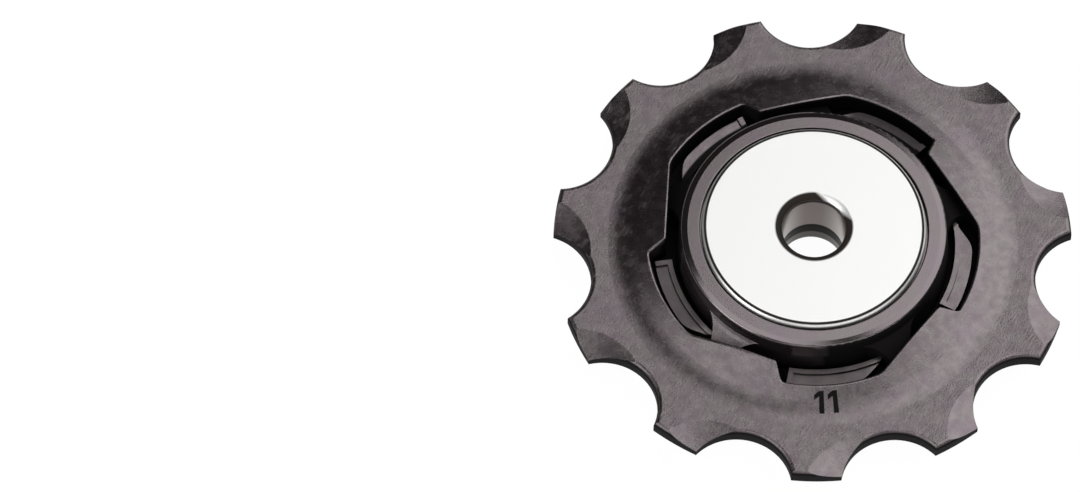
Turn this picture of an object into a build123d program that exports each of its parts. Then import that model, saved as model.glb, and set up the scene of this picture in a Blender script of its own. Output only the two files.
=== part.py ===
from build123d import *
import math
import os

# Derailleur jockey wheel: a moulded toothed wheel that turns on a sealed ball bearing.
# Two turned caps cover the bearing, and their sleeves line the hole for the pulley bolt.
# Millimetres. The axle is Z, the front face looks along +Z, and the origin is on the
# axle, midway through the thickness of the teeth.

# Chain and teeth
CHAIN_PITCH = 12.7
ROLLER_DIAMETER = 7.77
TOOTH_COUNT = 11
FIRST_TOOTH_ANGLE = -88.7
ROLLER_CLEARANCE = 0.05
SEAT_RADIUS = 4.5
TIP_DROP = 1.04
TOOTH_THICKNESS = 1.6
TOOTH_EDGE = 0.4

# One-sided bevel on the front of each tooth
BEVEL_RADIUS = 5.47
BEVEL_SLOPE = 14.0
BEVEL_BEYOND_TIP = 2.0
BEVEL_SIDE = 4.2
BEVEL_MARGIN = 0.1

# Sealed ball bearing
BEARING_BORE = 8.0
BEARING_OUTER = 16.0
BEARING_WIDTH = 5.0
RACE_PER_SECTION = 0.2375
RACE_CORNER = 0.2
BALL_PER_SECTION = 0.59525
BALL_COUNT = 9
BALL_CLEARANCE = 0.04
GROOVE_PER_BALL = 0.53
CAGE_PER_SECTION = 0.35
POCKET_CLEARANCE = 0.08
CAGE_BASE = 0.45
CAGE_GRIP = 0.45
SEAL_THICKNESS = 0.35
SEAL_RECESS = 0.1
SEAL_SEAT = 0.35
SEAL_LIP_CLEARANCE = 0.06
SEAL_LIP_WIDTH = 0.5
SEAL_LIP_THICKNESS = 0.2

# Hub of the toothed wheel
SEAT_CLEARANCE = 0.01
SEAT_LIP_OVERLAP = 0.4
SEAT_LIP_THICKNESS = 0.35
HUB_WALL = 3.05
HUB_DRAFT = 4.0
HUB_RIM_WIDTH = 1.63
HUB_RIM_HEIGHT = 0.4
HUB_EDGE = 0.2
RECESS_EDGE = 0.12

# Ring that carries the teeth, and the web that joins it to the hub
HUB_GROOVE = 1.05
RING_RISE = 1.68
RAMP_SLOPE = 23.5
COVE_RADIUS = 5.0
WEB_THICKNESS = 0.6

# Stepped slots in both faces of the ring, deep in front and shallow at the back
SLOT_COUNT = 5
BACK_SLOT_DROP = 1.2
SLOT_DEPTH = 1.55
FLAT_ANGLE = 106.0
STEP_INNER_ANGLE = 6.0
STEP_OUTER_ANGLE = 9.5
SLOT_CORNER = 2.0
SLOT_EDGE = 0.2
STEP_CORNER_MARGIN = 0.2

# Crescent tray in each front slot, and the spoke at its pointed end
TRAY_DROP = 2.03
TRAY_WALL_GAP = 0.45
TRAY_FLAT_GAP = 1.0
TRAY_INSET = 0.75
TRAY_START_ANGLE = 11.0
TRAY_LIP_WIDTH = 0.4
TRAY_LIP_HEIGHT = 0.25
SPOKE_ANGLE = 55.5
SPOKE_WIDTH = 1.9
SPOKE_ROOT_DROP = 0.38
SPOKE_END_DROP = 2.08
SPOKE_FLARE = 3.0

# Metal caps and the hole for the pulley bolt
BOLT_HOLE = 5.2
BOLT_HOLE_ROUNDING = 0.65
CAP_GAP = 0.12
CAP_LIFT = 0.15
CAP_THICKNESS = 0.6
CAP_RIM_ROUNDING = 0.4
SLEEVE_CLEARANCE = 0.02
SEAM_DROP = 1.1
SEAM_GAP = 0.06

# Heights and radii that follow from the sizes above
PITCH_RADIUS = CHAIN_PITCH / (2 * math.sin(math.pi / TOOTH_COUNT))
ROOT_RADIUS = PITCH_RADIUS - ROLLER_DIAMETER / 2 - ROLLER_CLEARANCE
TIP_RADIUS = PITCH_RADIUS - TIP_DROP
TOOTH_FACE = TOOTH_THICKNESS / 2
GAP_STEP = 360 / TOOTH_COUNT
FIRST_GAP_ANGLE = FIRST_TOOTH_ANGLE + GAP_STEP / 2

BEARING_FACE = BEARING_WIDTH / 2
BEARING_SECTION = (BEARING_OUTER - BEARING_BORE) / 2
RACE_THICKNESS = BEARING_SECTION * RACE_PER_SECTION
CAGE_WIDTH = BEARING_SECTION * CAGE_PER_SECTION
BALL_DIAMETER = BEARING_SECTION * BALL_PER_SECTION
BALL_RADIUS = BALL_DIAMETER / 2
BALL_CIRCLE = (BEARING_BORE + BEARING_OUTER) / 4
GROOVE_RADIUS = BALL_DIAMETER * GROOVE_PER_BALL
GROOVE_REACH = BALL_RADIUS + BALL_CLEARANCE
INNER_SHOULDER = BEARING_BORE / 2 + RACE_THICKNESS
OUTER_SHOULDER = BEARING_OUTER / 2 - RACE_THICKNESS
SEAL_FACE = BEARING_FACE - SEAL_RECESS
SEAL_FLOOR = SEAL_FACE - SEAL_THICKNESS

SEAT_LIP_FACE = BEARING_FACE + SEAT_LIP_THICKNESS
HUB_RADIUS = BEARING_OUTER / 2 + HUB_WALL
HUB_FACE = SEAT_LIP_FACE + HUB_RIM_HEIGHT
RECESS_RADIUS = HUB_RADIUS - HUB_RIM_WIDTH

FLAT_DISTANCE = HUB_RADIUS + HUB_GROOVE
SLOT_RADIUS = FLAT_DISTANCE + SLOT_DEPTH
CREST_HEIGHT = TOOTH_FACE + RING_RISE
WEB_BACK = BACK_SLOT_DROP - CREST_HEIGHT
WEB_FRONT = WEB_BACK + WEB_THICKNESS
WEB_MIDDLE = (WEB_BACK + WEB_FRONT) / 2
RAMP_TANGENT = math.tan(math.radians(RAMP_SLOPE))
RAMP_FOOT = FLAT_DISTANCE + RING_RISE / RAMP_TANGENT
SLOT_STEP = 360 / SLOT_COUNT
STEP_CORNER = SLOT_EDGE + STEP_CORNER_MARGIN
TRAY_RADIUS = HUB_RADIUS + TRAY_INSET
TRAY_FLOOR = CREST_HEIGHT - TRAY_DROP
TRAY_TOP = TRAY_FLOOR + TRAY_LIP_HEIGHT
SPOKE_ROOT = CREST_HEIGHT - SPOKE_ROOT_DROP
SPOKE_END = CREST_HEIGHT - SPOKE_END_DROP

CAP_RADIUS = RECESS_RADIUS - CAP_GAP
CAP_BACK = SEAT_LIP_FACE + CAP_LIFT
CAP_FACE = CAP_BACK + CAP_THICKNESS
CLEAR_OF_PART = 2 * TIP_RADIUS


def polar(radius, angle):
    """Point at a radius and an angle in degrees, counted from +X towards +Y."""
    turn = math.radians(angle)
    return Vector(radius * math.cos(turn), radius * math.sin(turn))


def section(points):
    """Closed section in the XZ plane from (radius, height) points."""
    return make_face(Polyline([(radius, 0, height) for radius, height in points], close=True))


def corners(face, points):
    """The face's corners that lie nearest to (radius, height) points of a section."""
    return [face.vertices().sort_by_distance((radius, 0, height))[0] for radius, height in points]


def turned(face):
    return revolve(face, axis=Axis.Z)


def slot_outline(wall_gap, flat_gap):
    """Area inside the stepped slots, kept clear of their round wall and of their flats.

    Each flat runs in from the round wall to a step, where the wall jumps out again."""
    wall = SLOT_RADIUS - wall_gap
    flat = FLAT_DISTANCE - flat_gap
    reach = math.degrees(math.acos(flat / wall))
    inner_step = flat / math.cos(math.radians(STEP_INNER_ANGLE))
    edges = []
    steps = []
    bends = []
    for number in range(SLOT_COUNT):
        foot = FLAT_ANGLE + number * SLOT_STEP
        step_in = polar(inner_step, foot + STEP_INNER_ANGLE)
        step_out = polar(wall, foot + STEP_OUTER_ANGLE)
        bend_angle = foot + SLOT_STEP - reach
        bend = polar(wall, bend_angle)
        wall_middle = polar(wall, (foot + STEP_OUTER_ANGLE + bend_angle) / 2)
        edges.append(Line(step_in, step_out))
        edges.append(ThreePointArc(step_out, wall_middle, bend))
        edges.append(Line(bend, polar(inner_step, foot + SLOT_STEP + STEP_INNER_ANGLE)))
        steps += [step_in, step_out]
        bends.append(bend)
    outline = make_face(edges)
    outline = fillet([outline.vertices().sort_by_distance(bend)[0] for bend in bends], SLOT_CORNER)
    return fillet([outline.vertices().sort_by_distance(step)[0] for step in steps], STEP_CORNER)


def tray_outline(radius, wall_gap, start_angle):
    """Crescents between a circle round the hub and the slots' wall, squared off at the step."""
    crescents = slot_outline(wall_gap, TRAY_FLAT_GAP) - Circle(radius)
    for number in range(SLOT_COUNT):
        foot = FLAT_ANGLE + number * SLOT_STEP
        cut = Polyline((0, 0), polar(CLEAR_OF_PART, foot - STEP_OUTER_ANGLE),
                       polar(CLEAR_OF_PART, foot + start_angle), close=True)
        crescents -= make_face(cut)
    return crescents


def ring_blank():
    """Toothed ring before its slots and teeth: flat at the teeth, with a ramp up to the hub."""
    inner = HUB_RADIUS - HUB_GROOVE / 2
    inner_height = CREST_HEIGHT + (FLAT_DISTANCE - inner) * RAMP_TANGENT
    feet = [(RAMP_FOOT, TOOTH_FACE), (RAMP_FOOT, -TOOTH_FACE)]
    face = section([
        (inner, -inner_height), (inner, inner_height), feet[0],
        (TIP_RADIUS, TOOTH_FACE), (TIP_RADIUS, -TOOTH_FACE), feet[1],
    ])
    return turned(fillet(corners(face, feet), COVE_RADIUS))


def hub():
    """Hub with the bearing's seat between two lips, and a recess for the cap in each face."""
    seat = BEARING_OUTER / 2 + SEAT_CLEARANCE
    lip = BEARING_OUTER / 2 - SEAT_LIP_OVERLAP
    base = HUB_RADIUS + (HUB_FACE - WEB_MIDDLE) * math.tan(math.radians(HUB_DRAFT))
    front = [
        (seat, BEARING_FACE), (lip, BEARING_FACE), (lip, SEAT_LIP_FACE),
        (RECESS_RADIUS, SEAT_LIP_FACE), (RECESS_RADIUS, HUB_FACE), (HUB_RADIUS, HUB_FACE),
    ]
    back = [(radius, -height) for radius, height in reversed(front)]
    face = section(front + [(base, WEB_MIDDLE)] + back)
    face = fillet(corners(face, [(HUB_RADIUS, HUB_FACE), (HUB_RADIUS, -HUB_FACE)]), HUB_EDGE)
    face = fillet(corners(face, [(RECESS_RADIUS, HUB_FACE), (RECESS_RADIUS, -HUB_FACE)]), RECESS_EDGE)
    return turned(face)


def slotted_ring():
    """Ring with the stepped slots sunk into both faces down to the web, edges rounded."""
    ring = ring_blank()
    outline = slot_outline(0, 0)
    ring -= Pos(0, 0, WEB_FRONT) * extrude(outline, CLEAR_OF_PART)
    ring -= Pos(0, 0, WEB_BACK) * extrude(outline, -CLEAR_OF_PART)
    wall_edges = [
        edge for edge in ring.edges().filter_by(Axis.Z, reverse=True)
        if (edge.center().Z > TRAY_FLOOR or edge.center().Z < WEB_BACK - SLOT_EDGE)
        and math.hypot(edge.center().X, edge.center().Y) < SLOT_RADIUS + SLOT_EDGE
    ]
    return fillet(wall_edges, SLOT_EDGE)


def front_trays():
    """Crescent trays that stand in the slots, with a thin lip on their inner side and end."""
    outline = tray_outline(TRAY_RADIUS, TRAY_WALL_GAP, TRAY_START_ANGLE)
    trays = Pos(0, 0, WEB_MIDDLE) * extrude(outline, TRAY_TOP - WEB_MIDDLE)
    lip_angle = math.degrees(TRAY_LIP_WIDTH / TRAY_RADIUS)
    floor = tray_outline(TRAY_RADIUS + TRAY_LIP_WIDTH, 0, TRAY_START_ANGLE + lip_angle)
    return trays - Pos(0, 0, TRAY_FLOOR) * extrude(floor, CLEAR_OF_PART)


def spokes():
    """Spokes across the front groove, which slope down from the hub's wall to the ring.

    A spoke flares out where it meets the hub. In plan it runs on to the tips of the teeth, and
    the sloping section trims it at the slots' wall."""
    plan = Circle(HUB_RADIUS)
    roots = []
    half_angle = math.degrees(math.asin(SPOKE_WIDTH / 2 / HUB_RADIUS))
    for number in range(SLOT_COUNT):
        angle = FLAT_ANGLE + SPOKE_ANGLE + number * SLOT_STEP
        plan += Rot(0, 0, angle) * Pos(TIP_RADIUS / 2, 0) * Rectangle(TIP_RADIUS, SPOKE_WIDTH)
        roots += [polar(HUB_RADIUS, angle - half_angle), polar(HUB_RADIUS, angle + half_angle)]
    plan = fillet([plan.vertices().sort_by_distance(root)[0] for root in roots], SPOKE_FLARE)
    buried = HUB_RADIUS - HUB_WALL / 2
    slope = turned(section([
        (buried, SPOKE_ROOT), (HUB_RADIUS, SPOKE_ROOT), (SLOT_RADIUS, SPOKE_END),
        (SLOT_RADIUS, WEB_MIDDLE), (buried, WEB_MIDDLE),
    ]))
    return slope & Pos(0, 0, WEB_MIDDLE) * extrude(plan, CLEAR_OF_PART)


def toothed_blank():
    """Slotted ring with a round seat for every roller, and the rim of the teeth rounded."""
    blank = slotted_ring()
    seat = Cylinder(SEAT_RADIUS, 2 * TOOTH_THICKNESS)
    blank -= [place * seat for place in
              PolarLocations(ROOT_RADIUS + SEAT_RADIUS, TOOTH_COUNT, start_angle=FIRST_GAP_ANGLE)]
    rim_edges = [
        edge for edge in blank.edges().filter_by(GeomType.CIRCLE)
        if math.isclose(abs(edge.center().Z), TOOTH_FACE)
        and math.hypot(edge.position_at(0).X, edge.position_at(0).Y) > ROOT_RADIUS
    ]
    return fillet(rim_edges, TOOTH_EDGE)


def bevel_cutter():
    """Shallow cone that opens forwards. Its rim lies on the front face of a tooth."""
    slope = math.tan(math.radians(BEVEL_SLOPE))
    return turned(section([
        (0, TOOTH_FACE - BEVEL_RADIUS * slope), (0, TOOTH_FACE + BEVEL_MARGIN),
        (BEVEL_RADIUS + BEVEL_MARGIN / slope, TOOTH_FACE + BEVEL_MARGIN),
    ]))


def toothed_wheel():
    wheel = toothed_blank() + hub() + front_trays() + spokes()
    cutter = Pos(TIP_RADIUS + BEVEL_BEYOND_TIP, BEVEL_SIDE, 0) * bevel_cutter()
    wheel -= [Rot(0, 0, FIRST_TOOTH_ANGLE + number * GAP_STEP) * cutter for number in range(TOOTH_COUNT)]
    return wheel


def cap(sleeve_end):
    """Cap for the front: a disc with a rounded rim, and a sleeve through the inner race."""
    bolt = BOLT_HOLE / 2
    sleeve = BEARING_BORE / 2 - SLEEVE_CLEARANCE
    mouth = (bolt, CAP_FACE)
    rim = (CAP_RADIUS, CAP_FACE)
    face = section([
        (bolt, sleeve_end), mouth, rim, (CAP_RADIUS, CAP_BACK),
        (INNER_SHOULDER, CAP_BACK), (INNER_SHOULDER, BEARING_FACE),
        (sleeve, BEARING_FACE), (sleeve, sleeve_end),
    ])
    face = fillet(corners(face, [mouth]), BOLT_HOLE_ROUNDING)
    return turned(fillet(corners(face, [rim]), CAP_RIM_ROUNDING))


def front_cap():
    return cap(-SEAM_DROP + SEAM_GAP / 2)


def back_cap():
    return mirror(cap(SEAM_DROP + SEAM_GAP / 2), Plane.XY)


def inner_race():
    bore = BEARING_BORE / 2
    ends = [(bore, BEARING_FACE), (bore, -BEARING_FACE)]
    face = section([ends[0], (INNER_SHOULDER, BEARING_FACE), (INNER_SHOULDER, -BEARING_FACE), ends[1]])
    face = fillet(corners(face, ends), RACE_CORNER)
    groove = Pos(BALL_CIRCLE - GROOVE_REACH + GROOVE_RADIUS, 0, 0) * (Plane.XZ * Circle(GROOVE_RADIUS))
    return turned(face - groove)


def outer_race():
    outer = BEARING_OUTER / 2
    ends = [(outer, BEARING_FACE), (outer, -BEARING_FACE)]
    front = [(OUTER_SHOULDER, SEAL_FLOOR), (OUTER_SHOULDER + SEAL_SEAT, SEAL_FLOOR),
             (OUTER_SHOULDER + SEAL_SEAT, BEARING_FACE), ends[0]]
    back = [(radius, -height) for radius, height in reversed(front)]
    face = section(front + back)
    face = fillet(corners(face, ends), RACE_CORNER)
    groove = Pos(BALL_CIRCLE + GROOVE_REACH - GROOVE_RADIUS, 0, 0) * (Plane.XZ * Circle(GROOVE_RADIUS))
    return turned(face - groove)


def ball_places():
    return PolarLocations(BALL_CIRCLE, BALL_COUNT, start_angle=90)


def ball_cage():
    """Crown cage: a ring beside the balls, with fingers that grip them past their middle."""
    pocket = BALL_RADIUS + POCKET_CLEARANCE
    inner = BALL_CIRCLE - CAGE_WIDTH / 2
    outer = BALL_CIRCLE + CAGE_WIDTH / 2
    top = pocket + CAGE_BASE
    cage = turned(section([(inner, -CAGE_GRIP), (inner, top), (outer, top), (outer, -CAGE_GRIP)]))
    return cage - [place * Sphere(pocket) for place in ball_places()]


def front_seal():
    """Seal pressed into the outer race, with a thin lip that runs just clear of the inner race."""
    lip = INNER_SHOULDER + SEAL_LIP_CLEARANCE
    seat = OUTER_SHOULDER + SEAL_SEAT
    lip_face = SEAL_FLOOR + SEAL_LIP_THICKNESS
    return turned(section([
        (lip, SEAL_FLOOR), (seat, SEAL_FLOOR), (seat, SEAL_FACE),
        (lip + SEAL_LIP_WIDTH, SEAL_FACE), (lip + SEAL_LIP_WIDTH, lip_face), (lip, lip_face),
    ]))


def pieces():
    named = {
        "toothed_wheel": toothed_wheel(),
        "front_cap": front_cap(),
        "back_cap": back_cap(),
        "outer_race": outer_race(),
        "inner_race": inner_race(),
        "ball_cage": ball_cage(),
        "front_seal": front_seal(),
        "back_seal": mirror(front_seal(), Plane.XY),
    }
    for number, place in enumerate(ball_places(), start=1):
        named[f"ball_{number}"] = place * Sphere(BALL_RADIUS)
    return named


os.makedirs("parts", exist_ok=True)
for name, solid in pieces().items():
    export_step(solid, f"parts/{name}.step")
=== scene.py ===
import math

import bpy
from mathutils import Matrix, Vector


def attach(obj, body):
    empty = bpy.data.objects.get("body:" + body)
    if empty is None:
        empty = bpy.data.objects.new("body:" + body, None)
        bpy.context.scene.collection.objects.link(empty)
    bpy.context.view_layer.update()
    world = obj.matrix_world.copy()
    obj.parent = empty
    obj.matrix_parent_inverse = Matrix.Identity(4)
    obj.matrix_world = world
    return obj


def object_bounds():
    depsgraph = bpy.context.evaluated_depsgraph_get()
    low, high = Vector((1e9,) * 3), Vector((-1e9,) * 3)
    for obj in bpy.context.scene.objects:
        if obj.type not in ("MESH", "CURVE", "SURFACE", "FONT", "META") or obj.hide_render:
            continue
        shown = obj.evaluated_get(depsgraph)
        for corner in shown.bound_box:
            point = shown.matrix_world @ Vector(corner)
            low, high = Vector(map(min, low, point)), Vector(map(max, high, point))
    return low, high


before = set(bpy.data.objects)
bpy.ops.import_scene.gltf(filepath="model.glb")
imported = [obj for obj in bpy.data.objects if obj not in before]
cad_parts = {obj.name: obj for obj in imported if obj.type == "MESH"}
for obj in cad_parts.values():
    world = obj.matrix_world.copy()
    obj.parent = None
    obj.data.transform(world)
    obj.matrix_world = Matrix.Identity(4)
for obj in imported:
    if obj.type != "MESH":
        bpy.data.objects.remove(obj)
cad_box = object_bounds()

# Toothed wheel: one piece of glass-filled nylon, injection moulded in a spark-eroded mould that
# leaves a fine satin grain, and scuffed in use. The hub, trays and spokes come out of a smoother
# part of the mould. Painted shade, black and dull, lies round the hub, in some trays and on the
# teeth's flanks.
MM = 0.001
WHOLE = (0.0, 1.0)
NOISE_MIDDLE = (0.3, 0.7)


def new_shader(name):
    """A new material with its node tree and its Principled shader."""
    material = bpy.data.materials.new(name)
    material.use_nodes = True
    return material, material.node_tree, material.node_tree.nodes["Principled BSDF"]


def noise(tree, texture):
    """Noise in the object's own metres. A texture gives its size, its detail and its roughness."""
    size, detail, roughness = texture
    place = tree.nodes.new("ShaderNodeTexCoord")
    pattern = tree.nodes.new("ShaderNodeTexNoise")
    pattern.inputs["Scale"].default_value = 1 / size
    pattern.inputs["Detail"].default_value = detail
    pattern.inputs["Roughness"].default_value = roughness
    tree.links.new(place.outputs["Object"], pattern.inputs["Vector"])
    return pattern.outputs["Fac"]


def axle_distance(tree):
    """Distance of a point from the axle."""
    place = tree.nodes.new("ShaderNodeTexCoord")
    flat = tree.nodes.new("ShaderNodeVectorMath")
    flat.operation = "MULTIPLY"
    flat.inputs[1].default_value = (1, 1, 0)
    length = tree.nodes.new("ShaderNodeVectorMath")
    length.operation = "LENGTH"
    tree.links.new(place.outputs["Object"], flat.inputs[0])
    tree.links.new(flat.outputs["Vector"], length.inputs[0])
    return length.outputs["Value"]


def height(tree):
    """Height of a point along the axle."""
    place = tree.nodes.new("ShaderNodeTexCoord")
    parts = tree.nodes.new("ShaderNodeSeparateXYZ")
    tree.links.new(place.outputs["Object"], parts.inputs["Vector"])
    return parts.outputs["Z"]


def along(tree, direction):
    """How far a point lies from the middle of the wheel in a given direction."""
    place = tree.nodes.new("ShaderNodeTexCoord")
    product = tree.nodes.new("ShaderNodeVectorMath")
    product.operation = "DOT_PRODUCT"
    product.inputs[1].default_value = direction
    tree.links.new(place.outputs["Object"], product.inputs[0])
    return product.outputs["Value"]


def from_place(tree, place):
    """Distance of a point from a given place."""
    here = tree.nodes.new("ShaderNodeTexCoord")
    distance = tree.nodes.new("ShaderNodeVectorMath")
    distance.operation = "DISTANCE"
    distance.inputs[1].default_value = place
    tree.links.new(here.outputs["Object"], distance.inputs[0])
    return distance.outputs["Value"]


def upwards(tree):
    """How far a face looks along the axle: 1 for a level one, up or down, 0 for an upright wall."""
    faces = tree.nodes.new("ShaderNodeNewGeometry")
    parts = tree.nodes.new("ShaderNodeSeparateXYZ")
    either_way = tree.nodes.new("ShaderNodeMath")
    either_way.operation = "ABSOLUTE"
    tree.links.new(faces.outputs["Normal"], parts.inputs["Vector"])
    tree.links.new(parts.outputs["Z"], either_way.inputs[0])
    return either_way.outputs["Value"]


def spread(tree, value, source, target):
    """Stretches a value from one range to another, and holds it at the ends."""
    ranged = tree.nodes.new("ShaderNodeMapRange")
    ranged.inputs["From Min"].default_value = source[0]
    ranged.inputs["From Max"].default_value = source[1]
    ranged.inputs["To Min"].default_value = target[0]
    ranged.inputs["To Max"].default_value = target[1]
    tree.links.new(value, ranged.inputs["Value"])
    return ranged.outputs["Result"]


def where(tree, *limits):
    """A mask from values with their ranges: 0 before the first number, 1 beyond the second."""
    factor = None
    for value, edge in limits:
        inside = spread(tree, value, edge, WHOLE)
        if factor is None:
            factor = inside
            continue
        both = tree.nodes.new("ShaderNodeMath")
        both.operation = "MULTIPLY"
        tree.links.new(factor, both.inputs[0])
        tree.links.new(inside, both.inputs[1])
        factor = both.outputs["Value"]
    return factor


def add(tree, first, second):
    """The sum of two masks, held at 1."""
    total = tree.nodes.new("ShaderNodeMath")
    total.operation = "ADD"
    total.use_clamp = True
    tree.links.new(first, total.inputs[0])
    tree.links.new(second, total.inputs[1])
    return total.outputs["Value"]


def blend(tree, kind, factor, first, second):
    """Mixes two colours or two numbers. Each is a plain value or another node's output."""
    mix = tree.nodes.new("ShaderNodeMix")
    mix.data_type = kind
    tree.links.new(factor, mix.inputs["Factor"])
    slots = [slot for slot in mix.inputs if slot.enabled and slot.name in ("A", "B")]
    for slot, value in zip(slots, (first, second)):
        if isinstance(value, bpy.types.NodeSocket):
            tree.links.new(value, slot)
        else:
            slot.default_value = value
    return next(output for output in mix.outputs if output.enabled)


def raise_bump(tree, level, depth, strength=None, normal=None):
    """A rough surface of a given depth, which can fade with its strength and lie on another."""
    bump = tree.nodes.new("ShaderNodeBump")
    bump.inputs["Distance"].default_value = depth
    tree.links.new(level, bump.inputs["Height"])
    if strength is not None:
        tree.links.new(strength, bump.inputs["Strength"])
    if normal is not None:
        tree.links.new(normal, bump.inputs["Normal"])
    return bump.outputs["Normal"]


# Painted shade, black and dull, lies in the groove at the foot of the hub, on the steep faces
# inside the ring except at the near left, low beside the hub on the far side, on the flanks of the
# teeth, and by shares in three of the trays, which are named by their angle round the wheel.
TRAY_REACH = (13.5 * MM, 13.4 * MM)
TRAY_HEIGHT = (1.8 * MM, 1.7 * MM)
GROOVE_REACH = (13.8 * MM, 13.7 * MM)
GROOVE_TOP = (0.3 * MM, 0.0)
GROOVE_BOTTOM = (-1.0 * MM, -0.9 * MM)
STEEP_TILT = (0.92, 0.85)
NEAR_LEFT = (-0.595, -0.804, 0.0)
NEAR_LEFT_REACH = (9.0 * MM, 8.0 * MM)
FAR_SIDE = (0.0, 1.0, 0.0)
FAR_SIDE_REACH = (4.0 * MM, 5.0 * MM)
FAR_FLOOR_REACH = (12.5 * MM, 12.35 * MM)
FLANK_REACH = (16.0 * MM, 16.2 * MM)
FLANK_TILT = (0.85, 0.6)
SHADED_TRAYS = {54: 0.6, 198: 0.35, 270: 0.3}
TRAY_RADIUS = 12.5 * MM
TRAY_SHADE_REACH = (5.5 * MM, 4.5 * MM)


def tray_mask(tree, radius, level):
    """All that is low inside the ring: trays, spokes, web, the foot of the hub and the back."""
    return where(tree, (radius, TRAY_REACH), (level, TRAY_HEIGHT))


# Painted shade: black, dull patches where the hollows and walls of the wheel fall in shade.
def painted_shade(tree, radius, level):
    tilt = upwards(tree)
    near_left = along(tree, NEAR_LEFT)
    far = along(tree, FAR_SIDE)
    groove = where(tree, (radius, GROOVE_REACH), (level, GROOVE_TOP), (level, GROOVE_BOTTOM))
    steep = where(tree, (radius, GROOVE_REACH), (tilt, STEEP_TILT), (near_left, NEAR_LEFT_REACH))
    far_floor = where(tree, (radius, FAR_FLOOR_REACH), (level, TRAY_HEIGHT), (far, FAR_SIDE_REACH))
    flank = where(tree, (radius, FLANK_REACH), (tilt, FLANK_TILT))
    shaded = add(tree, add(tree, add(tree, groove, steep), far_floor), flank)
    trays = tray_mask(tree, radius, level)
    for angle, share in SHADED_TRAYS.items():
        turned = math.radians(angle)
        middle = (TRAY_RADIUS * math.cos(turned), TRAY_RADIUS * math.sin(turned), 0)
        tray_shade = where(tree, (trays, WHOLE), (from_place(tree, middle), TRAY_SHADE_REACH))
        shaded = add(tree, shaded, spread(tree, tray_shade, WHOLE, (0, share)))
    return shaded


# The scuffs are patches of fine, short scratches on the ring, all in about one direction.
SCUFF_WIDTH = 0.16 * MM
SCUFF_LENGTH = 1.2 * MM
SCUFF_ANGLE = math.radians(58)
SCUFF_DETAIL = 2
SCUFF_EDGE = (0.53, 0.68)
SCUFF_PATCH = (0.48, 0.62)
SCUFF_REACH = (13.4 * MM, 13.6 * MM)
SCUFF_DEPTH = 0.028 * MM


def scratches(tree):
    """Noise drawn out along one direction."""
    place = tree.nodes.new("ShaderNodeTexCoord")
    turn = tree.nodes.new("ShaderNodeMapping")
    turn.vector_type = "TEXTURE"
    turn.inputs["Rotation"].default_value = (0, 0, SCUFF_ANGLE)
    turn.inputs["Scale"].default_value = (SCUFF_LENGTH, SCUFF_WIDTH, SCUFF_WIDTH)
    texture = tree.nodes.new("ShaderNodeTexNoise")
    texture.inputs["Scale"].default_value = 1
    texture.inputs["Detail"].default_value = SCUFF_DETAIL
    tree.links.new(place.outputs["Object"], turn.inputs["Vector"])
    tree.links.new(turn.outputs["Vector"], texture.inputs["Vector"])
    return texture.outputs["Fac"]


# The hub rim's face falls a little outwards, and its outer edge is rounded off broadly.
HUB_REACH = (11.4 * MM, 11.3 * MM)
RIM_FACE_REACH = (9.4 * MM, 10.5 * MM)
RIM_FACE_FALL = 0.02 * MM
RIM_EDGE_REACH = (10.45 * MM, 11.05 * MM)
RIM_EDGE_FALL = 0.28 * MM


def rounded_rim(tree, radius):
    edge = raise_bump(tree, spread(tree, radius, RIM_EDGE_REACH, (1, 0)), RIM_EDGE_FALL)
    face = spread(tree, radius, RIM_FACE_REACH, (1, 0))
    return raise_bump(tree, face, RIM_FACE_FALL, normal=edge)


# The nylon itself is near black, with a satin gloss of a plum or brown cast that varies in clouds.
GRAIN = (0.12 * MM, 3, 0.6)
GRAIN_DEPTH = 0.02 * MM
POLISHED_GRAIN = 0.3
CLOUD = (1.1 * MM, 5, 0.65)
BLOTCH = (0.9 * MM, 4, 0.6)
TINT = (1.8 * MM, 4, 0.6)
TINT_SPAN = (0.35, 0.65)
NYLON_DARK = (0.0083, 0.0063, 0.007, 1.0)
NYLON_LIGHT = (0.0148, 0.0111, 0.0122, 1.0)
SCUFF_PALE = (0.063, 0.056, 0.057, 1.0)
# Painted shade: the near-black colour below, with the lowest sheen and the highest roughness
# further down, goes where the wheel falls in shade.
SHADE_BLACK = (0.0028, 0.0026, 0.0026, 1.0)
PLUM_SHEEN = (1.0, 0.84, 0.92, 1.0)
BROWN_SHEEN = (0.98, 0.89, 0.88, 1.0)
NYLON_IOR = 2.27
RING_SHEEN = (0.41, 0.58)
HUB_SHEEN = 0.5
DARK_SHEEN = 0.03
RING_ROUGHNESS = (0.19, 0.34)
SCUFF_ROUGHNESS = 0.37
TRAY_ROUGHNESS = 0.24
HUB_ROUGHNESS = 0.2
SHADE_ROUGHNESS = 0.7


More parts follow.
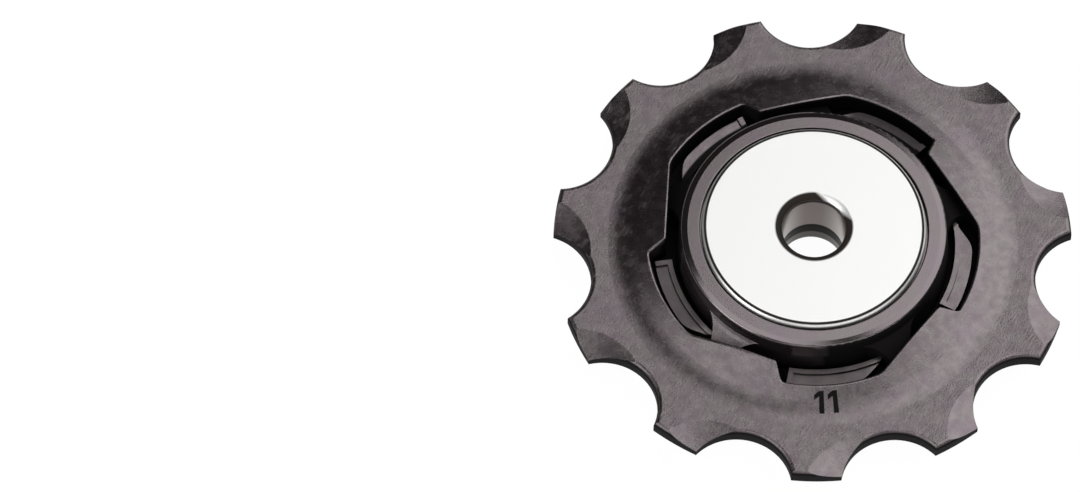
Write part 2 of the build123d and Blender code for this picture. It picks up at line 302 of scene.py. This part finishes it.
def moulded_nylon():
    material, tree, shader = new_shader("moulded_nylon")
    radius = axle_distance(tree)
    level = height(tree)
    cloud = noise(tree, CLOUD)
    hub = where(tree, (radius, HUB_REACH))
    tray = tray_mask(tree, radius, level)
    shaded = painted_shade(tree, radius, level)
    marks = scratches(tree)
    worn = where(tree, (cloud, SCUFF_PATCH), (radius, SCUFF_REACH))
    scratched = where(tree, (marks, SCUFF_EDGE), (worn, WHOLE))

    colour = blend(tree, "RGBA", cloud, NYLON_DARK, NYLON_LIGHT)
    colour = blend(tree, "RGBA", scratched, colour, SCUFF_PALE)
    # Painted shade turns the nylon black here, and below it makes it rough and takes its sheen
    # away.
    colour = blend(tree, "RGBA", shaded, colour, SHADE_BLACK)
    tree.links.new(colour, shader.inputs["Base Color"])

    roughness = spread(tree, cloud, NOISE_MIDDLE, RING_ROUGHNESS)
    roughness = blend(tree, "FLOAT", scratched, roughness, SCUFF_ROUGHNESS)
    roughness = blend(tree, "FLOAT", tray, roughness, TRAY_ROUGHNESS)
    roughness = blend(tree, "FLOAT", hub, roughness, HUB_ROUGHNESS)
    roughness = blend(tree, "FLOAT", shaded, roughness, SHADE_ROUGHNESS)
    tree.links.new(roughness, shader.inputs["Roughness"])

    sheen = spread(tree, noise(tree, BLOTCH), NOISE_MIDDLE, RING_SHEEN)
    sheen = blend(tree, "FLOAT", hub, sheen, HUB_SHEEN)
    sheen = blend(tree, "FLOAT", shaded, sheen, DARK_SHEEN)
    tree.links.new(sheen, shader.inputs["Specular IOR Level"])
    tint = spread(tree, noise(tree, TINT), TINT_SPAN, WHOLE)
    cast = blend(tree, "RGBA", tint, PLUM_SHEEN, BROWN_SHEEN)
    tree.links.new(cast, shader.inputs["Specular Tint"])
    shader.inputs["IOR"].default_value = NYLON_IOR

    scored = raise_bump(tree, marks, SCUFF_DEPTH, worn, rounded_rim(tree, radius))
    satin = spread(tree, add(tree, hub, tray), WHOLE, (1, POLISHED_GRAIN))
    grained = raise_bump(tree, noise(tree, GRAIN), GRAIN_DEPTH, satin, scored)
    tree.links.new(grained, shader.inputs["Normal"])
    return material


def dress(name, material):
    """Gives a solid its finish."""
    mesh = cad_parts[name].data
    mesh.materials.clear()
    mesh.materials.append(material)


dress("toothed_wheel", moulded_nylon())


# Numerals: the number of teeth, moulded into the ramp of the ring at the near side and filled with
# black paint. Each stroke is a thin patch that follows the ramp and the cove below it, whose sizes
# are the toothed wheel's own.
NUMERAL_ANGLE = math.radians(-84.7)
NUMERAL_RADIUS = 15.1 * MM
NUMERAL_HEIGHT = 1.75 * MM
NUMERAL_PITCH = 1.15 * MM
STROKE = 0.4 * MM
FLAG_DROP = 0.48 * MM
FLAG_REACH = 0.42 * MM
PAINT_LIFT = 0.012 * MM
PAINT_DEPTH = 0.05 * MM
PATCH_STEPS = 10
TOOTH_FACE = 0.8 * MM
RAMP_FOOT = 15.96 * MM
RAMP_SLOPE = math.radians(23.5)
COVE_RADIUS = 5.0 * MM
PAINT_DARK = (0.0046, 0.0044, 0.0044, 1.0)
PAINT_LIGHT = (0.0083, 0.0078, 0.0078, 1.0)
PAINT_ROUGHNESS = 0.8
PAINT_SHEEN = 0.06


def ramp_height(radius):
    """Height of the ring's front: a level face, a cove, and a straight ramp up to the hub."""
    half = COVE_RADIUS * math.tan(RAMP_SLOPE / 2)
    level_from = RAMP_FOOT + half
    if radius > level_from:
        return TOOTH_FACE
    if radius < RAMP_FOOT - half * math.cos(RAMP_SLOPE):
        return TOOTH_FACE + (RAMP_FOOT - radius) * math.tan(RAMP_SLOPE)
    return TOOTH_FACE + COVE_RADIUS - math.sqrt(COVE_RADIUS ** 2 - (level_from - radius) ** 2)


def on_ramp(across, up):
    """Point of the ring's front at a place in the flat drawing of the numerals."""
    radius = NUMERAL_RADIUS - up
    angle = NUMERAL_ANGLE + across / NUMERAL_RADIUS
    return (radius * math.cos(angle), radius * math.sin(angle), ramp_height(radius) + PAINT_LIFT)


def stroke(vertices, faces, corners):
    """Adds a four-cornered stroke as a fine grid, so that it bends with the ramp."""
    first = len(vertices)
    a, b, c, d = [Vector(corner) for corner in corners]
    for row in range(PATCH_STEPS + 1):
        left = a.lerp(d, row / PATCH_STEPS)
        right = b.lerp(c, row / PATCH_STEPS)
        for column in range(PATCH_STEPS + 1):
            vertices.append(on_ramp(*left.lerp(right, column / PATCH_STEPS)))
    for row in range(PATCH_STEPS):
        for column in range(PATCH_STEPS):
            corner = first + row * (PATCH_STEPS + 1) + column
            faces.append((corner, corner + 1, corner + PATCH_STEPS + 2, corner + PATCH_STEPS + 1))


def numerals():
    """Two ones, each with an upright stroke and a short flag, given the paint's thickness."""
    vertices = []
    faces = []
    low = -NUMERAL_HEIGHT / 2
    high = NUMERAL_HEIGHT / 2
    for middle in (-NUMERAL_PITCH / 2, NUMERAL_PITCH / 2):
        left = middle - STROKE / 2
        right = middle + STROKE / 2
        stroke(vertices, faces, [(left, low), (right, low), (right, high), (left, high)])
        flag = left - FLAG_REACH
        stroke(vertices, faces, [(flag, high - FLAG_DROP - STROKE / 2), (left, high - STROKE),
                                 (left, high), (flag, high - FLAG_DROP + STROKE / 2)])
    mesh = bpy.data.meshes.new("numerals")
    mesh.from_pydata(vertices, [], faces)
    piece = bpy.data.objects.new("numerals", mesh)
    bpy.context.scene.collection.objects.link(piece)
    body = piece.modifiers.new("body", "SOLIDIFY")
    body.thickness = PAINT_DEPTH
    body.offset = -1
    return piece


def black_paint():
    material, tree, shader = new_shader("black_paint")
    colour = blend(tree, "RGBA", noise(tree, GRAIN), PAINT_DARK, PAINT_LIGHT)
    tree.links.new(colour, shader.inputs["Base Color"])
    shader.inputs["Roughness"].default_value = PAINT_ROUGHNESS
    shader.inputs["Specular IOR Level"].default_value = PAINT_SHEEN
    return material


tooth_count = numerals()
tooth_count.data.materials.append(black_paint())
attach(tooth_count, "wheel")


# Ball bearing: through-hardened steel races, ground all over, with polished balls in a moulded
# nylon crown cage. A rubber seal is pressed into each side of the outer race.
GRINDING_MARKS = (0.12 * MM, 5, 0.7)
RACE_STEEL = (0.56, 0.56, 0.58, 1.0)
RACE_ROUGHNESS = (0.20, 0.34)
BALL_STEEL = (0.70, 0.70, 0.72, 1.0)
BALL_ROUGHNESS = (0.06, 0.11)
MOTTLE = (1.1 * MM, 4, 0.6)
CAGE_NYLON = ((0.46, 0.41, 0.28, 1.0), (0.52, 0.47, 0.34, 1.0))
CAGE_ROUGHNESS = 0.45
SEAL_RUBBER = ((0.010, 0.010, 0.011, 1.0), (0.016, 0.016, 0.017, 1.0))
SEAL_ROUGHNESS = 0.6


def bright_steel(name, colour, roughness):
    """Steel whose gloss varies with the marks of its grinding."""
    material, tree, shader = new_shader(name)
    shader.inputs["Base Color"].default_value = colour
    shader.inputs["Metallic"].default_value = 1.0
    marks = noise(tree, GRINDING_MARKS)
    tree.links.new(spread(tree, marks, NOISE_MIDDLE, roughness), shader.inputs["Roughness"])
    return material


def mottled(name, colours, roughness):
    """Moulded nylon or rubber, a little uneven in colour, with a fine grain."""
    material, tree, shader = new_shader(name)
    colour = blend(tree, "RGBA", noise(tree, MOTTLE), *colours)
    tree.links.new(colour, shader.inputs["Base Color"])
    grained = raise_bump(tree, noise(tree, GRAIN), GRAIN_DEPTH)
    tree.links.new(grained, shader.inputs["Normal"])
    shader.inputs["Roughness"].default_value = roughness
    return material


race_finish = bright_steel("ground_steel", RACE_STEEL, RACE_ROUGHNESS)
for race in ("outer_race", "inner_race"):
    dress(race, race_finish)
ball_finish = bright_steel("ball_steel", BALL_STEEL, BALL_ROUGHNESS)
for node_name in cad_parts:
    if node_name.startswith("ball_") and node_name != "ball_cage":
        dress(node_name, ball_finish)
dress("ball_cage", mottled("cage_nylon", CAGE_NYLON, CAGE_ROUGHNESS))
seal_finish = mottled("seal_rubber", SEAL_RUBBER, SEAL_ROUGHNESS)
for seal in ("front_seal", "back_seal"):
    dress(seal, seal_finish)


# Caps: turned from aluminium bar, each a thin disc over the bearing with a sleeve through the inner
# race. The lathe leaves fine rings on the faces. The bolt hole is painted darker in shade, most on
# its far wall; painted shade lies at its mouths, on the lower sleeve and in a fine line round the
# rim, and a dark band lies at the seam between the sleeves.
ALUMINIUM = (0.86, 0.86, 0.85, 1.0)
CAP_ROUGHNESS = (0.38, 0.46)
CAP_SHEEN = 0.5
LATHE_PITCH = 0.06 * MM
LATHE_DETAIL = 2
LATHE_DEPTH = 0.0006 * MM
# Painted shade: the hole's colours below are darker than the metal, and darker still towards the
# far wall.
HOLE_SHADE_LIGHT = (0.37, 0.335, 0.315, 1.0)
HOLE_SHADE_DARK = (0.14, 0.117, 0.112, 1.0)
HOLE_SHADE_REACH = (1.2 * MM, 2.5 * MM)
HOLE_REACH = (2.75 * MM, 2.65 * MM)
HOLE_ROUGHNESS = 0.3
# Next: the colour of the painted shade at the mouths, lower sleeve and rim, and of the seam band.
SHADE_AND_SEAM_BLACK = (0.026, 0.022, 0.02, 1.0)
MOUTH_OUTSIDE = (3.3 * MM, 3.15 * MM)
MOUTH_INSIDE = (2.63 * MM, 2.68 * MM)
FAR_RIGHT = (0.64, 0.77, 0.0)
FAR_RIGHT_REACH = (2.75 * MM, 2.45 * MM)
SEAM_TOP = (-0.75 * MM, -0.85 * MM)
SEAM_BOTTOM = (-2.2 * MM, -2.0 * MM)
LOWER_SLEEVE = (-2.0 * MM, -2.2 * MM)
LOWER_SHARE = 0.6
RIM_LINE_INSIDE = (8.88 * MM, 8.93 * MM)
RIM_LINE_OUTSIDE = (9.15 * MM, 9.10 * MM)


def lathe_rings(tree, radius):
    """Uneven rings round the axle, as a lathe's tool leaves them."""
    rings = tree.nodes.new("ShaderNodeTexNoise")
    rings.noise_dimensions = "1D"
    rings.inputs["Scale"].default_value = 1 / LATHE_PITCH
    rings.inputs["Detail"].default_value = LATHE_DETAIL
    tree.links.new(radius, rings.inputs["W"])
    return rings.outputs["Fac"]


def painted_shade_and_seam(tree, radius, level):
    """Painted shade at the hole's mouths but their far right, on the lower sleeve and round the
    rim, and a dark band at the seam between the sleeves.
    """
    toward_far_right = along(tree, FAR_RIGHT)
    mouth = where(tree, (radius, MOUTH_OUTSIDE), (radius, MOUTH_INSIDE), (toward_far_right, FAR_RIGHT_REACH))
    seam = where(tree, (radius, HOLE_REACH), (level, SEAM_TOP), (level, SEAM_BOTTOM))
    rim = where(tree, (radius, RIM_LINE_INSIDE), (radius, RIM_LINE_OUTSIDE))
    lower = where(tree, (radius, HOLE_REACH), (level, LOWER_SLEEVE))
    lower = spread(tree, lower, WHOLE, (0, LOWER_SHARE))
    return add(tree, add(tree, mouth, seam), add(tree, rim, lower))


def turned_aluminium():
    material, tree, shader = new_shader("turned_aluminium")
    radius = axle_distance(tree)
    rings = lathe_rings(tree, radius)
    hole = where(tree, (radius, HOLE_REACH))
    shade_and_seam = painted_shade_and_seam(tree, radius, height(tree))

    # Painted shade in the hole, darker towards its far wall.
    far_wall = spread(tree, along(tree, FAR_SIDE), HOLE_SHADE_REACH, WHOLE)
    hole_shade = blend(tree, "RGBA", far_wall, HOLE_SHADE_LIGHT, HOLE_SHADE_DARK)
    colour = blend(tree, "RGBA", hole, ALUMINIUM, hole_shade)
    # Painted shade, and the dark seam band, make the metal black, not metallic and without sheen.
    colour = blend(tree, "RGBA", shade_and_seam, colour, SHADE_AND_SEAM_BLACK)
    tree.links.new(colour, shader.inputs["Base Color"])

    tree.links.new(spread(tree, shade_and_seam, WHOLE, (1, 0)), shader.inputs["Metallic"])
    sheen = spread(tree, shade_and_seam, WHOLE, (CAP_SHEEN, DARK_SHEEN))
    tree.links.new(sheen, shader.inputs["Specular IOR Level"])
    roughness = spread(tree, rings, NOISE_MIDDLE, CAP_ROUGHNESS)
    roughness = blend(tree, "FLOAT", hole, roughness, HOLE_ROUGHNESS)
    tree.links.new(roughness, shader.inputs["Roughness"])
    tree.links.new(raise_bump(tree, rings, LATHE_DEPTH), shader.inputs["Normal"])
    return material


cap_finish = turned_aluminium()
for cap in ("front_cap", "back_cap"):
    dress(cap, cap_finish)


# Floor: a wide sheet of white paper. The wheel lies on it on its back cap, a hundredth of a
# millimetre above it, so that the two don't share a plane.
FLOOR_HALF = 3.0
FLOOR_GAP = 0.01 * MM
PAPER_WHITE = (0.80, 0.80, 0.80, 1.0)
PAPER_ROUGHNESS = 0.9
PAPER_SHEEN = 0.0
FLOOR_GLOW = 0.93
FLOOR_STRENGTH = 1.04


def white_paper():
    """Paper that shows the camera and the metal a clean white, with a trace of the shadow on it."""
    material, tree, shader = new_shader("white_paper")
    shader.inputs["Base Color"].default_value = PAPER_WHITE
    shader.inputs["Roughness"].default_value = PAPER_ROUGHNESS
    shader.inputs["Specular IOR Level"].default_value = PAPER_SHEEN
    path = tree.nodes.new("ShaderNodeLightPath")
    share = tree.nodes.new("ShaderNodeMath")
    share.operation = "MULTIPLY"
    share.inputs[1].default_value = FLOOR_GLOW
    seen = add(tree, path.outputs["Is Camera Ray"], path.outputs["Is Glossy Ray"])
    tree.links.new(add(tree, seen, path.outputs["Is Transmission Ray"]), share.inputs[0])
    glow = tree.nodes.new("ShaderNodeEmission")
    glow.inputs["Strength"].default_value = FLOOR_STRENGTH
    mix = tree.nodes.new("ShaderNodeMixShader")
    tree.links.new(share.outputs["Value"], mix.inputs["Fac"])
    tree.links.new(shader.outputs["BSDF"], mix.inputs[1])
    tree.links.new(glow.outputs["Emission"], mix.inputs[2])
    tree.links.new(mix.outputs["Shader"], tree.nodes["Material Output"].inputs["Surface"])
    return material


floor_level = cad_box[0].z - FLOOR_GAP
floor_mesh = bpy.data.meshes.new("floor")
floor_corners = [
    (-FLOOR_HALF, -FLOOR_HALF, floor_level), (FLOOR_HALF, -FLOOR_HALF, floor_level),
    (FLOOR_HALF, FLOOR_HALF, floor_level), (-FLOOR_HALF, FLOOR_HALF, floor_level),
]
floor_mesh.from_pydata(floor_corners, [], [(0, 1, 2, 3)])
floor_mesh.materials.append(white_paper())
floor = bpy.data.objects.new("floor", floor_mesh)
bpy.context.scene.collection.objects.link(floor)


# Light: a large soft box high on the far right, whose straight left edge passes almost overhead,
# a long one on the near left, a small one low beside it and a wide one low on the near right.
# The room is dim, so the slopes that face away from them go dark.
LAMP_DISTANCE = 3.0
ROOM_WHITE = (1.0, 1.0, 1.0, 1.0)
ROOM_LIGHT = 0.01


def soft_box(name, azimuth, elevation, across, width, depth, radiance):
    """An area lamp that faces the wheel, with its width laid along a given direction.

    The sizes are for a metre away. The power follows from the radiance and the size."""
    lamp = bpy.data.lights.new(name, "AREA")
    lamp.shape = "RECTANGLE"
    lamp.size = width * LAMP_DISTANCE
    lamp.size_y = depth * LAMP_DISTANCE
    lamp.energy = radiance * math.pi * lamp.size * lamp.size_y
    round_axle = math.radians(azimuth)
    above = math.radians(elevation)
    level = math.cos(above)
    away = Vector((level * math.cos(round_axle), level * math.sin(round_axle), math.sin(above)))
    deep = away.cross(Vector(across)).normalized()
    turn = Matrix((deep.cross(away), deep, away)).transposed().to_4x4()
    box = bpy.data.objects.new(name, lamp)
    box.matrix_world = Matrix.Translation(away * LAMP_DISTANCE) @ turn
    bpy.context.scene.collection.objects.link(box)


soft_box("main_box", azimuth=36, elevation=50.6, across=(0.75, -0.64, -0.17),
         width=1.15, depth=1.45, radiance=2.0)
soft_box("left_box", azimuth=218, elevation=62, across=(0.80, -0.56, 0.22),
         width=1.10, depth=0.40, radiance=2.0)
soft_box("low_box", azimuth=216, elevation=22, across=(0.59, -0.81, 0),
         width=0.60, depth=0.45, radiance=4.9)
soft_box("near_box", azimuth=295, elevation=22, across=(0.906, 0.423, 0),
         width=1.60, depth=0.50, radiance=1.5)

world = bpy.data.worlds.new("room")
world.use_nodes = True
world.node_tree.nodes["Background"].inputs["Color"].default_value = ROOM_WHITE
world.node_tree.nodes["Background"].inputs["Strength"].default_value = ROOM_LIGHT
bpy.context.scene.world = world
bpy.context.scene.view_settings.view_transform = "Standard"


# Camera: a long lens that looks down on the wheel, placed so that the wheel fills the right half
# of the picture. The wheel's middle and scale are given in the picture's pixels.
PHOTO_WIDTH = 1080
PHOTO_HEIGHT = 492
WHEEL_PIXEL = (812.7, 245.2)
PIXELS_PER_MM = 12.07
SENSOR_WIDTH = 36
NEAREST = 0.01
CAMERA_DISTANCE = 0.83
CAMERA_ELEVATION = math.radians(62.05)
CAMERA_ROLL = math.radians(1.35)
AIM_HEIGHT = 0.3 * MM

camera_data = bpy.data.cameras.new("camera")
camera_data.sensor_width = SENSOR_WIDTH
frame_width = PHOTO_WIDTH / PIXELS_PER_MM * MM
camera_data.lens = SENSOR_WIDTH * CAMERA_DISTANCE / frame_width
camera_data.clip_start = NEAREST
camera = bpy.data.objects.new("camera", camera_data)
bpy.context.scene.collection.objects.link(camera)
tip = Matrix.Rotation(math.pi / 2 - CAMERA_ELEVATION, 3, "X")
turn = tip @ Matrix.Rotation(CAMERA_ROLL, 3, "Z")
offset_right = (WHEEL_PIXEL[0] - PHOTO_WIDTH / 2) / PIXELS_PER_MM * MM
offset_up = (PHOTO_HEIGHT / 2 - WHEEL_PIXEL[1]) / PIXELS_PER_MM * MM
from_aim = turn @ Vector((-offset_right, -offset_up, CAMERA_DISTANCE))
camera.matrix_world = Matrix.Translation(Vector((0, 0, AIM_HEIGHT)) + from_aim) @ turn.to_4x4()
bpy.context.scene.camera = camera
